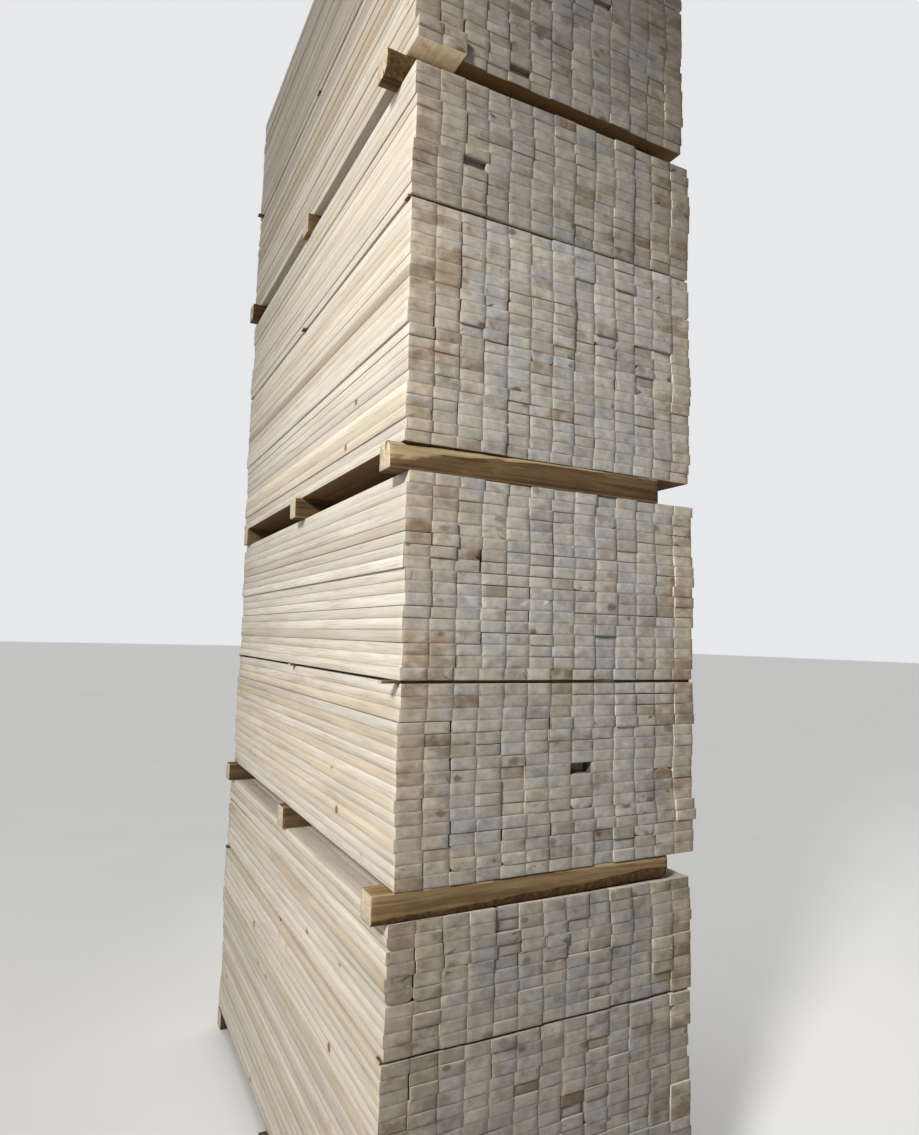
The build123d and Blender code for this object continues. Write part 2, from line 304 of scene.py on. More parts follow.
    # dirt along the arrises: by height on the narrow faces, by place across on the wide ones
    flat_face = t.ramp(t.math("ABSOLUTE", nz), 0.55, 0.80)
    edge = t.mixf(flat_face, t.ramp(t.math("DIVIDE", t.math("ABSOLUTE", lz), 0.0188), 0.86, 1.02, 0.0, 0.45),
                  t.ramp(t.math("DIVIDE", t.math("ABSOLUTE", lx), 0.0443), 0.94, 1.01, 0.0, 0.35))
    side = t.mix(t.math("MULTIPLY", edge, t.ramp(cloud, 0.3, 0.7, 0.5, 1.0)), side, lin(126, 106, 82))

    # painted shade: the undersides and the lowest few millimetres of the long faces of a pack's lowest row are darkened
    # to brown
    under = t.math("MAXIMUM", 0.0, t.math("MAXIMUM", t.ramp(nz, -0.60, -0.90), t.ramp(lz, -0.0150, -0.0175)))
    side = t.mix(t.math("MULTIPLY", t.ramp(painted_underside_shade_and_light, 0.4, 0.6), t.math("MULTIPLY", under, t.ramp(cloud, 0.3, 0.7, 0.96, 0.995))), side, lin(100, 74, 42))
    # painted light: near the front end, the underside of a board that juts out is painted a pale lit tan with grain
    painted_jut_light = t.math("MULTIPLY", t.math("MULTIPLY", t.ramp(painted_underside_shade_and_light, -0.4, -0.6), t.ramp(nz, -0.60, -0.90)), t.ramp(ly, 0.16, 0.12))
    painted_jut_light_colour = t.mix(t.ramp(streak, 0.44, 0.70, 0.0, 0.65), lin(250, 230, 194), lin(214, 186, 142))
    painted_jut_light_colour = t.mix(t.ramp(t.noise(own, 26.0, 3.0, 0.6), 0.46, 0.72, 0.0, 0.55), painted_jut_light_colour, lin(190, 160, 118))
    side = t.mix(t.math("MULTIPLY", painted_jut_light, t.ramp(fine, 0.40, 0.72, 0.97, 0.80)), side, painted_jut_light_colour)
    # painted shade: deep in between the boards the long faces of shut-in boards are darkened
    side = t.scaled(side, t.math("SUBTRACT", 1.0, t.math("MULTIPLY", shut, t.ramp(near, 0.94, 0.80, 0.0, 0.62))))
    colour = t.mix(is_end, side, end)
    # painted shade: the left-facing narrow flanks of shut-in boards, laid bare by a neighbour's step, are darkened in
    # patches on the side the key light falls on
    bare = t.math("MULTIPLY", t.math("MULTIPLY", shut, t.ramp(nx, -0.25, -0.70)),
                  t.ramp(t.noise(t.vmath("MULTIPLY", place, (9.0, 0.3, 12.0)), 1.0, 2.0, 0.5), 0.42, 0.60, 0.36, 0.05))
    colour = t.scaled(colour, t.math("SUBTRACT", 1.0, bare))
    bark_tone = t.mix(t.ramp(blotch, 0.35, 0.65), lin(66, 48, 32), lin(112, 86, 60))
    colour = t.mix(t.math("MULTIPLY", bark, t.math("SUBTRACT", 1.0, t.math("MULTIPLY", is_end, 0.8))), colour, bark_tone)
    t.link(colour, t.bsdf.inputs["Base Color"])
    rough = t.mixf(is_end, t.ramp(streak, 0.3, 0.7, 0.62, 0.80), t.ramp(blotch, 0.3, 0.7, 0.78, 0.94))
    rough = t.math("MAXIMUM", rough, t.math("MULTIPLY", t.ramp(painted_underside_shade_and_light, 0.4, 0.6), under))
    t.link(rough, t.bsdf.inputs["Roughness"])
    t.bsdf.inputs["Specular IOR Level"].default_value = 0.20

    # ---- relief: saw marks and fibre ----
    slant = t.math("MULTIPLY", t.math("SUBTRACT", r2, 0.5), 0.9)
    across = t.math("ADD", t.math("ADD", lx, t.math("MULTIPLY", lz, slant)), r1)
    cut = t.math("SINE", t.math("MULTIPLY", across, 1500.0))
    along = t.math("ADD", t.math("ADD", ly, t.math("MULTIPLY", lz, t.math("SUBTRACT", r1, 0.5))), t.math("MULTIPLY", cloud, 0.03))
    band = t.math("SINE", t.math("MULTIPLY", along, 950.0))
    end_h = t.math("ADD", t.math("MULTIPLY", fibre, 0.34), t.math("MULTIPLY", cut, 0.06))
    end_h = t.math("ADD", end_h, t.math("SUBTRACT", t.math("MULTIPLY", late, 0.20), t.math("MULTIPLY", split, 1.6)))
    end_h = t.math("ADD", end_h, t.math("MULTIPLY", blotch, 0.15))
    side_h = t.math("ADD", t.math("MULTIPLY", fine, 0.60), t.math("ADD", t.math("MULTIPLY", band, 0.07), t.math("MULTIPLY", streak, 0.4)))
    side_h = t.math("ADD", side_h, t.math("MULTIPLY", knot, 0.25))
    height = t.mixf(is_end, side_h, end_h)
    height = t.math("ADD", height, t.math("MULTIPLY", bark, t.math("MULTIPLY", blotch, 3.0)))
    t.link(t.bump(height, 0.75, 0.0009), t.bsdf.inputs["Normal"])
    return t.mat


def timber_material(name, dark, mid, pale, spots):
    """Rough brown timber for bearers and laths: grain along X, bark where an edge is waney."""
    t = Tree(name)
    lc = t.attr("lc")["Vector"]
    tb = t.attr("tb")["Vector"]
    own = t.vmath("ADD", lc, t.vmath("SCALE", tb, scale=17.0))
    ragged = t.math("MULTIPLY_ADD", t.noise(t.vmath("MULTIPLY", own, (9.0, 50.0, 50.0)), 1.0, 3.0, 0.6), 0.5, -0.25)
    skin_mark = t.attr("bk")["Fac"]
    bark = t.ramp(t.math("ADD", skin_mark, t.math("MULTIPLY", ragged, 0.35)), 0.50, 0.62)
    fresh = t.ramp(t.math("ADD", skin_mark, ragged), -0.40, -0.62)
    lx, ly, lz = t.split(lc)
    nx, ny, nz = t.split(t.node("ShaderNodeNewGeometry").outputs["True Normal"])
    is_end = t.ramp(t.math("ABSOLUTE", nx), 0.62, 0.80)
    bend = t.noise(t.vmath("MULTIPLY", own, (2.0, 9.0, 9.0)), 1.0, 2.0)
    bent = t.vmath("ADD", own, t.join(0.0, t.math("MULTIPLY", bend, 0.03), t.math("MULTIPLY", bend, 0.03)))
    streak = t.noise(t.vmath("MULTIPLY", bent, (1.3, 55.0, 55.0)), 1.0, 4.0, 0.62, 0.2)
    fine = t.noise(t.vmath("MULTIPLY", bent, (6.0, 260.0, 260.0)), 1.0, 3.0, 0.65)
    cloud = t.noise(t.vmath("MULTIPLY", own, (4.0, 14.0, 14.0)), 1.0, 4.0, 0.6)
    spot = t.noise(own, 60.0, 3.0, 0.6)
    colour = t.mix(t.ramp(streak, 0.38, 0.62), mid, dark)
    colour = t.mix(t.ramp(cloud, 0.50, 0.72, 0.0, 0.55), colour, pale)
    colour = t.mix(t.ramp(cloud, 0.44, 0.28, 0.0, 0.50), colour, dark)
    colour = t.mix(t.ramp(fine, 0.48, 0.76, 0.0, 0.55), colour, dark)
    vor = t.voronoi(own, spots, "F1")
    pick = t.split(vor.outputs["Color"])[0]
    kdist = t.math("ADD", t.math("DIVIDE", vor.outputs["Distance"], spots),
                   t.math("MULTIPLY", t.math("SUBTRACT", spot, 0.5), 0.012))
    size = t.ramp(pick, 0.72, 1.0, 0.0, 0.018, smooth=False)
    knot = t.math("MULTIPLY", t.ramp(t.math("SUBTRACT", size, kdist), -0.002, 0.002), t.ramp(pick, 0.72, 0.75))
    colour = t.mix(t.math("MULTIPLY", knot, 0.75), colour, lin(62, 44, 28))
    # arrises knocked pale
    arris = t.math("MAXIMUM", t.math("DIVIDE", t.math("ABSOLUTE", ly), 0.0445), t.math("DIVIDE", t.math("ABSOLUTE", lz), 0.0445))
    arris = t.math("ADD", arris, t.math("MULTIPLY", t.math("SUBTRACT", spot, 0.5), 0.10))
    both = t.math("MULTIPLY", t.ramp(t.math("ABSOLUTE", ly), 0.036, 0.0435), t.ramp(t.math("ABSOLUTE", lz), 0.036, 0.0435))
    colour = t.mix(t.math("MULTIPLY", both, 0.55), colour, pale)
    colour = t.mix(t.math("MULTIPLY", t.attr("pl")["Fac"], t.ramp(cloud, 0.34, 0.62, 0.9, 0.45)), colour,
                   t.mix(t.ramp(streak, 0.36, 0.66), lin(156, 132, 96), lin(118, 95, 63)))
    bark_tone = t.mix(t.ramp(spot, 0.35, 0.65), lin(58, 40, 20), lin(92, 67, 36))
    colour = t.mix(bark, colour, bark_tone)
    skin = t.mix(t.ramp(streak, 0.40, 0.66), lin(160, 142, 112), lin(134, 113, 82))
    skin = t.mix(t.ramp(cloud, 0.54, 0.62, 0.0, 0.80), skin, lin(88, 64, 40))
    colour = t.mix(fresh, colour, skin)
    # end grain
    ring = t.math("FRACT", t.math("MULTIPLY", t.vmath("LENGTH", t.join(0.0, t.math("ADD", ly, 0.012), t.math("ADD", lz, 0.006))), 260.0))
    end = t.mix(t.ramp(spot, 0.3, 0.7), lin(168, 152, 126), lin(196, 184, 160))
    end = t.mix(t.math("MULTIPLY", t.math("POWER", ring, 3.0), 0.35), end, lin(112, 92, 66))
    t.link(t.mix(is_end, colour, end), t.bsdf.inputs["Base Color"])
    t.link(t.ramp(streak, 0.3, 0.7, 0.74, 0.92), t.bsdf.inputs["Roughness"])
    t.bsdf.inputs["Specular IOR Level"].default_value = 0.2
    h = t.math("ADD", t.math("MULTIPLY", fine, 0.7), t.math("ADD", t.math("MULTIPLY", streak, 0.7), t.math("MULTIPLY", spot, 0.5)))
    h = t.math("ADD", h, t.math("MULTIPLY", bark, t.math("MULTIPLY", cloud, 2.0)))
    t.link(t.bump(h, 0.85, 0.0018), t.bsdf.inputs["Normal"])
    return t.mat


# ------------------------------------------------------------------------------------------------
# reading the boards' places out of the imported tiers
# ------------------------------------------------------------------------------------------------
def boxes_of(ob):
    """Lowest and highest corner of each separate solid in a node."""
    me = ob.data
    co = np.empty(len(me.vertices) * 3, np.float32)
    me.vertices.foreach_get("co", co)
    co = co.reshape(-1, 3).astype(np.float64)
    me.calc_loop_triangles()
    tri = np.empty(len(me.loop_triangles) * 3, np.int32)
    me.loop_triangles.foreach_get("vertices", tri)
    _, same = np.unique(np.round(co * 2e4).astype(np.int64), axis=0, return_inverse=True)
    same = same.reshape(-1)
    tri = same[tri].reshape(-1, 3)
    label = np.arange(same.max() + 1)
    while True:
        low = label[tri].min(1)
        new = label.copy()
        np.minimum.at(new, tri.ravel(), np.repeat(low, 3))
        new = new[new]
        if (new == label).all():
            break
        label = new
    vert_label = label[same]
    ids, which = np.unique(vert_label, return_inverse=True)
    which = which.reshape(-1)
    lo = np.full((len(ids), 3), 1e9)
    hi = np.full((len(ids), 3), -1e9)
    np.minimum.at(lo, which, co)
    np.maximum.at(hi, which, co)
    return lo, hi


# ------------------------------------------------------------------------------------------------
# board meshes
# ------------------------------------------------------------------------------------------------
CORNERS = ((-1, -1), (1, -1), (1, 1), (-1, 1))   # round the section, seen from the front
RING = 16


def section(hw, ht, cut):
    """cut: (stations, 4 corners, 2) how much of each corner is gone across and up.
    Gives (stations, RING, 2), going round the section as seen from the front."""
    n = cut.shape[0]
    out = np.zeros((n, RING, 2))
    def corner(k, order, at):
        sx, sz = CORNERS[k]
        a, b = cut[:, k, 0], cut[:, k, 1]
        on_wide = np.stack([sx * (hw - a), np.full(n, sz * ht)], 1)
        mid = np.stack([sx * (hw - a * 0.30), sz * (ht - b * 0.30)], 1)
        on_narrow = np.stack([np.full(n, sx * hw), sz * (ht - b)], 1)
        pts = (on_wide, mid, on_narrow) if order else (on_narrow, mid, on_wide)
        for i, p in enumerate(pts):
            out[:, at + i] = p
    corner(0, False, 0)                                   # lower left
    out[:, 3] = (-hw / 3, -ht)
    out[:, 4] = (hw / 3, -ht)
    corner(1, True, 5)                                    # lower right
    corner(2, False, 8)                                   # upper right
    out[:, 11] = (hw / 3, ht)
    out[:, 12] = (-hw / 3, ht)
    corner(3, True, 13)                                   # upper left
    return out


def board(rng, lo, hi, outer):
    """Vertices of one board, ring by ring from the front end to the back end."""
    cx, cz = (lo[0] + hi[0]) / 2, (lo[2] + hi[2]) / 2
    hw, ht = (hi[0] - lo[0]) / 2, (hi[2] - lo[2]) / 2
    y0, y1 = lo[1], hi[1]
    if outer:
        inner = np.linspace(0.0, 1.0, 13)[1:-1]
        inner = np.clip(inner + rng.normal(0, 0.015, inner.size), 0.03, 0.97)
        inner.sort()
        ys = np.concatenate([[y0 + 0.0005, y0 + 0.045], y0 + (y1 - y0) * inner, [y1 - 0.045, y1 - 0.0005]])
    else:
        ys = np.array([y0 + 0.0005, y0 + 0.055, y1 - 0.055, y1 - 0.0005])
    n = len(ys)
    cut = np.abs(rng.normal(0.0006, 0.0003, (n, 4, 2))) + 0.0003
    cut[:, :, 1] *= 0.6
    bark = np.zeros((n, RING))
    # wane: the round outside of the log left on one corner, or on both corners of a wide face
    kind = rng.random()
    if kind < 0.055:
        if kind < 0.018:
            corners = ((0, 1), (2, 3))[rng.integers(0, 2)]
            a, b = rng.uniform(0.018, 0.032), rng.uniform(0.007, 0.020)
        else:
            corners = (rng.integers(0, 4),)
            a, b = rng.uniform(0.007, 0.022), rng.uniform(0.006, 0.018)
        reach = rng.uniform(0.35, 1.5)
        from_front = rng.random() < 0.6
        s = (ys - y0) if from_front else (y1 - ys)
        fade = np.clip(1.0 - s / reach, 0.0, 1.0) ** 0.7
        barky = rng.random() < 0.5
        for k in corners:
            cut[:, k, 0] += a * fade * rng.uniform(0.85, 1.15, n)
            cut[:, k, 1] += b * fade * rng.uniform(0.85, 1.15, n)
            if barky:
                edge3 = {0: (0, 1, 2), 1: (5, 6, 7), 2: (8, 9, 10), 3: (13, 14, 15)}[int(k)]
                for i, w in zip(edge3, (0.62, 1.0, 0.62)):
                    bark[:, i] = w * (fade > 0.12)
    cut[:, :, 0] = np.minimum(cut[:, :, 0], hw * 0.60)
    cut[:, :, 1] = np.minimum(cut[:, :, 1], ht * 0.92)
    sec = section(hw, ht, cut)
    rings = np.zeros((n, RING, 3))
    rings[:, :, 0] = sec[:, :, 0] + cx
    rings[:, :, 2] = sec[:, :, 1] + cz
    rings[:, :, 1] = ys[:, None]
    # sawn faces aren't quite flat
    rings[:, :, 0] -= np.sign(sec[:, :, 0]) * np.abs(rng.normal(0, 0.00012, (n, RING)))
    rings[:, :, 2] -= np.sign(sec[:, :, 1]) * np.abs(rng.normal(0, 0.00010, (n, RING)))
    if outer:
        bow = rng.normal(0, 0.0009) * np.sin(np.pi * (ys - y0) / (y1 - y0))
        side = 1.0 if cx > 0 else -1.0
        rings[:, :, 0] += (side * np.abs(bow))[:, None]
    ends = []
    for front in (True, False):
        base = rings[0 if front else -1]
        inward = 1.0 if front else -1.0
        y_end = y0 if front else y1
        tx, tz = rng.normal(0, 0.005), rng.normal(0, 0.007)
        dx, dz = base[:, 0] - cx, base[:, 2] - cz
        cap = base.copy()
        e = rng.uniform(0.00012, 0.0003)
        cap[:, 0] = cx + np.sign(dx) * np.maximum(np.abs(dx) - e, 0)
        cap[:, 2] = cz + np.sign(dz) * np.maximum(np.abs(dz) - e, 0)
        tilt = lambda x, z: inward * np.maximum(0.0, (x * tx + z * tz) + abs(tx) * hw + abs(tz) * ht)
        cap[:, 1] = y_end + tilt(cap[:, 0] - cx, cap[:, 2] - cz)
        base[:, 1] = cap[:, 1] + inward * e
        # chipped corners
        for k in range(4):
            if rng.random() < 0.022:
                sx, sz = CORNERS[k]
                idx = {0: (0, 1, 2), 1: (5, 6, 7), 2: (8, 9, 10), 3: (13, 14, 15)}[k]
                d = rng.uniform(0.0008, 0.0028)
                deep = rng.uniform(0.0006, 0.0024)
                for i in idx:
                    cap[i, 0] -= sx * d * rng.uniform(0.6, 1.2)
                    cap[i, 2] -= sz * d * 0.7 * rng.uniform(0.6, 1.2)
                    cap[i, 1] += inward * deep * 0.3
                    base[i, 1] += inward * deep
        mid = np.zeros((RING, 3))
        mid[:, 0] = cx + (cap[:, 0] - cx) * 0.52
        mid[:, 2] = cz + (cap[:, 2] - cz) * 0.50
        mid[:, 1] = y_end + tilt(mid[:, 0] - cx, mid[:, 2] - cz) + inward * np.abs(rng.normal(0, 0.00003, RING))
        centre = np.array([cx, y_end + inward * 0.00003 + tilt(0.0, 0.0), cz])
        ends.append((centre, mid, cap))
    (c0, m0, k0), (c1, m1, k1) = ends
    ordered = np.concatenate([[m0], [k0], rings, [k1], [m1]])
    bk = np.concatenate([[bark[0]], [bark[0]], bark, [bark[-1]], [bark[-1]]])
    return np.concatenate([ordered.reshape(-1, 3), [c0], [c1]]), np.concatenate([bk.ravel(), [0.0, 0.0]]), n + 4


_topo = {}


def topology(n_rings):
    """Quads between the rings, and the two end fans."""
    if n_rings not in _topo:
        i = np.arange(RING)
        j = (i + 1) % RING
        quads = []
        for k in range(n_rings - 1):
            a, b = k * RING, (k + 1) * RING
            quads.append(np.stack([a + i, b + i, b + j, a + j], 1))
        quads = np.concatenate(quads)
        c0, c1 = n_rings * RING, n_rings * RING + 1
        last = (n_rings - 1) * RING
        fans = np.concatenate([np.stack([np.full(RING, c0), i, j], 1),
                               np.stack([np.full(RING, c1), last + j, last + i], 1)])
        _topo[n_rings] = (quads, fans)
    return _topo[n_rings]


def build_mesh(name, verts, quads, tris, point_attrs, material, uv):
    me = bpy.data.meshes.new(name)
    nv, nq, nt = len(verts), len(quads), len(tris)
    me.vertices.add(nv)
    me.vertices.foreach_set("co", np.asarray(verts, np.float32).ravel())
    me.loops.add(nq * 4 + nt * 3)
    me.loops.foreach_set("vertex_index", np.concatenate([np.asarray(quads, np.int32).ravel(), np.asarray(tris, np.int32).ravel()]))
    me.polygons.add(nq + nt)
    me.polygons.foreach_set("loop_start", np.concatenate([np.arange(nq) * 4, nq * 4 + np.arange(nt) * 3]).astype(np.int32))
    me.polygons.foreach_set("loop_total", np.concatenate([np.full(nq, 4), np.full(nt, 3)]).astype(np.int32))
    for key, values in point_attrs.items():
        values = np.asarray(values, np.float32)
        a = me.attributes.new(key, "FLOAT_VECTOR" if values.ndim == 2 else "FLOAT", "POINT")
        a.data.foreach_set("vector" if values.ndim == 2 else "value", values.ravel())
    me.update(calc_edges=True)
    me.uv_layers.new(name="OFBake", do_init=False).uv.foreach_set("vector", np.asarray(uv, np.float32).ravel())
    me.validate()
    me.materials.append(material)
    ob = bpy.data.objects.new(name, me)
    scene.collection.objects.link(ob)
    return ob


# ------------------------------------------------------------------------------------------------
# flat maps of the pieces, for a bake: 1.0 is the whole image
# ------------------------------------------------------------------------------------------------
def around(ring_xz, idx):
    """Along the section through the listed ring points: each ring's running length there, 0 to 1."""
    pts = ring_xz[:, idx]
    step = np.linalg.norm(np.diff(pts, axis=1), axis=2)
    step = step + 0.02 * step.sum(1, keepdims=True)
    run = np.concatenate([np.zeros((len(step), 1)), np.cumsum(step, 1)], 1)
    return run / run[:, -1:]


def by_face(n_rings, start, stop, at_first, at_next):
    """Corner values of the quads of segments start..stop-1, from each ring's values at a face's two edges."""
    a, b = at_first[start:stop], at_first[start + 1:stop + 1]
    c, d = at_next[start + 1:stop + 1], at_next[start:stop]
    return np.stack([a, b, c, d], 2)


LEFT_PTS, RIGHT_PTS = [13, 14, 15, 0, 1, 2], [5, 6, 7, 8, 9, 10]
LEFT_FACES, RIGHT_FACES = LEFT_PTS[:-1], RIGHT_PTS[:-1]
LOWER_FACES, UPPER_FACES = [2, 3, 4], [10, 11, 12]
NEXT = (np.arange(RING) + 1) % RING


class Sheet:
    """Where a tier piece's faces lie in its map: both ends, the open long side, the open lid or underside,
    and one small cell for the shut-in long faces of each board."""

    def __init__(self, lo, hi, boards, has_side):
        self.lo, self.hi = lo.min(0), hi.max(0)
        w, l, h = self.hi - self.lo
        m = 6 / 1024
        if has_side:
            self.s_side = min(0.332, 0.283 / h)
            self.right = h * self.s_side + m
            used = l * self.s_side + 2 * m
        else:
            self.s_side = 0.0
            self.right = 66 / 1024
            used = m
        room = 1.0 - self.right - 2 * m
        self.s_band = room / l
        band = w * self.s_band
        self.s_end = min((room - m) / (2 * w), (1.0 - band - 4 * m) / h)
        self.front = np.array([m, m])
        self.back = np.array([2 * m + w * self.s_end, m])
        self.band = np.array([m, 1.0 - m - band])
        self.side = np.array([1.0 - self.right, m])
        # the cells, in what is left of the right column
        cells_w, cells_h = self.right - m, 1.0 - used - m
        cols = max(1, int(round(math.sqrt(boards * cells_w / cells_h / 1.8))))
        rows = math.ceil(boards / cols)
        self.cell = np.array([cells_w / cols, cells_h / rows])
        self.cells_at, self.cols, self.used = np.array([1.0 - self.right, used]), cols, 0

    def lay(self, v, n_rings, open_side, open_band):
        p = v[:n_rings * RING].reshape(n_rings, RING, 3)
        quads = np.zeros((n_rings - 1, RING, 4, 2))
        xz = p[:, :, [0, 2]]
        # cut ends, seen along the board
        for seg, at in ((slice(0, 2), self.front), (slice(n_rings - 3, n_rings - 1), self.back)):
            flat = (xz - self.lo[[0, 2]]) * self.s_end + at
            first, after = flat, flat[:, NEXT]
            quads[seg] = by_face(n_rings, seg.start, seg.stop, first, after)
        fans = np.zeros((2, RING, 3, 2))
        for i, (ring, at) in enumerate(((p[0], self.front), (p[-1], self.back))):
            flat = (ring[:, [0, 2]] - self.lo[[0, 2]]) * self.s_end + at
            centre = (v[n_rings * RING + i, [0, 2]] - self.lo[[0, 2]]) * self.s_end + at
            pair = (flat, flat[NEXT]) if i == 0 else (flat[NEXT], flat)
            fans[i] = np.stack([np.broadcast_to(centre, (RING, 2)), *pair], 1)
        # shut-in long faces: the whole section unrolled in the board's own cell
        run = around(xz, list(range(RING)) + [0])
        y = p[:, :, 1]
        along = (y - y.min()) / (y.max() - y.min())
        corner = self.cells_at + self.cell * np.array([self.used % self.cols, self.used // self.cols])
        pad, size = 0.12 * self.cell, 0.76 * self.cell
        self.used += 1
        first = np.stack([along * size[0], run[:, :-1] * size[1]], 2) + corner + pad
        after = np.stack([along[:, NEXT] * size[0], run[:, 1:] * size[1]], 2) + corner + pad
        long = slice(2, n_rings - 3)
        quads[long] = by_face(n_rings, 2, n_rings - 3, first, after)
        mid_z = (xz[2:-2, :, 1].max() + xz[2:-2, :, 1].min()) / 2
        if open_side:
            pts, faces = (LEFT_PTS, LEFT_FACES) if open_side == "left" else (RIGHT_PTS, RIGHT_FACES)
            t = around(xz, pts)
            sign = -1.0 if open_side == "left" else 1.0
            z = (mid_z + sign * (t - 0.5) * ROW_PITCH * 0.97 - self.lo[2] + 0.0005) * self.s_side
            yy = (y[:, pts] - self.lo[1]) * self.s_side
            place = np.stack([z, yy], 2) + self.side
            quads[long, faces] = by_face(n_rings, 2, n_rings - 3, place[:, :-1], place[:, 1:])
        if open_band:
            faces = LOWER_FACES if open_band == "lower" else UPPER_FACES
            place = (p[:, :, [1, 0]] - self.lo[[1, 0]]) * self.s_band + self.band
            quads[long, faces] = by_face(n_rings, 2, n_rings - 3, place[:, faces], place[:, NEXT[faces]])
        return quads.reshape(-1, 2), fans.reshape(-1, 2)


def stick_map(v, n_rings):
    """A timber's map: its four long faces unrolled along the image, its two ends below."""
    p = v[:n_rings * RING].reshape(n_rings, RING, 3)
    lo, hi = v.min(0), v.max(0)
    yz = p[:, :, 1:]
    run = around(yz, list(range(RING)) + [0])
    run = 0.01 + 0.84 * run
    along = 0.01 + 0.98 * (p[:, :, 0] - lo[0]) / (hi[0] - lo[0])
    quads = np.zeros((n_rings - 1, RING, 4, 2))
    quads[2:n_rings - 3] = by_face(n_rings, 2, n_rings - 3, np.stack([along, run[:, :-1]], 2), np.stack([along[:, NEXT], run[:, 1:]], 2))
    fans = np.zeros((2, RING, 3, 2))
    scale = 0.12 / (hi[2] - lo[2]) if hi[2] - lo[2] > 0.05 else 0.40 / (hi[1] - lo[1])
    for i, (a, b) in enumerate(((0, 2), (n_rings - 3, n_rings - 1))):
        at = np.array([0.02 + 0.50 * i, 0.87])
        flat = (yz - lo[1:]) * scale + at
        quads[a:b] = by_face(n_rings, a, b, flat, flat[:, NEXT])
        ring = flat[0 if i == 0 else -1]
        centre = (v[n_rings * RING + i, 1:] - lo[1:]) * scale + at
        pair = (ring, ring[NEXT]) if i == 0 else (ring[NEXT], ring)
        fans[i] = np.stack([np.broadcast_to(centre, (RING, 2)), *pair], 1)
    return np.concatenate([quads.reshape(-1, 2), fans.reshape(-1, 2)])


BOARD_MAT = board_material()
GROUPS = (("left", 0, 3), ("middle", 4, 8), ("right", 9, 12))
# browning of the ends in each tier, from the ground up
AGED = (0.52, 0.50, 0.20, -0.12, -0.05, 0.64, 0.66, 0.60)
# and how much warmer or greyer than usual they are
WARMER = (0.06, 0.10, 0.05, -0.08, 0.04, 0.22, 0.36, 0.36)


